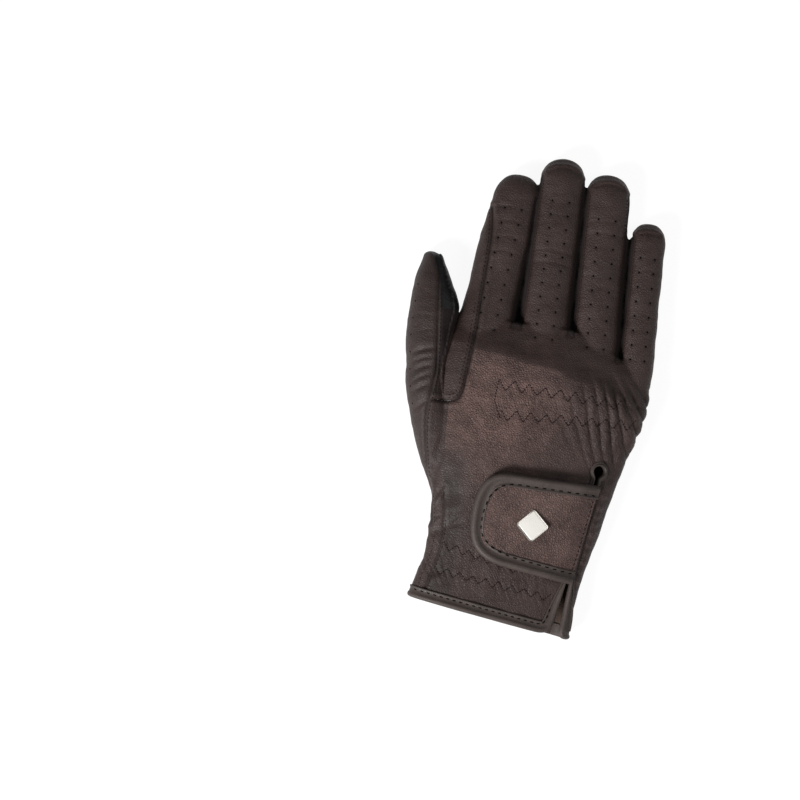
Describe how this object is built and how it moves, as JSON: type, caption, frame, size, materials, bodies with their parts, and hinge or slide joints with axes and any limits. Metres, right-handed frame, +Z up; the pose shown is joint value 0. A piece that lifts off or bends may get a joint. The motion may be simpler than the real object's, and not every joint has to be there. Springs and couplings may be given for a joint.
{
  "type": "right-hand leather horse riding glove",
  "caption": "Right-hand brown leather horse riding glove lying palm down, with a wrist slit, a lapped closing tab, a bare plate, elastic gathers and pierced finger backs.",
  "frame": {"origin": "on the surface that the glove lies on, under the middle of the palm", "axes": "+Z up out of the back of the hand, +Y from the wrist to the fingertips, +X from the thumb to the little finger"},
  "size_m": [0.1202, 0.2286, 0.0275],
  "materials": {
    "brown_leather": "soft, fine grained, dark brown, with a low sheen",
    "black_leather": "smooth, black, slightly glossier than the brown",
    "binding_leather": "smooth folded leather tape, dark brown",
    "white_plate": "satin, off-white, bare"
  },
  "bodies": {
    "root": {"back_panel": "brown_leather", "palm_panel": "brown_leather", "index_tip_patch": "black_leather", "index_side_panel": "brown_leather", "fourchette_index_middle": "brown_leather", "fourchette_middle_ring": "brown_leather", "fourchette_ring_little": "brown_leather", "thumb_back": "brown_leather", "thumb_palm": "brown_leather", "thumb_tip_patch": "black_leather", "edge_binding": "binding_leather", "closing_tab": "brown_leather", "tab_binding": "binding_leather", "plate": "white_plate"}
  },
  "joints": []
}
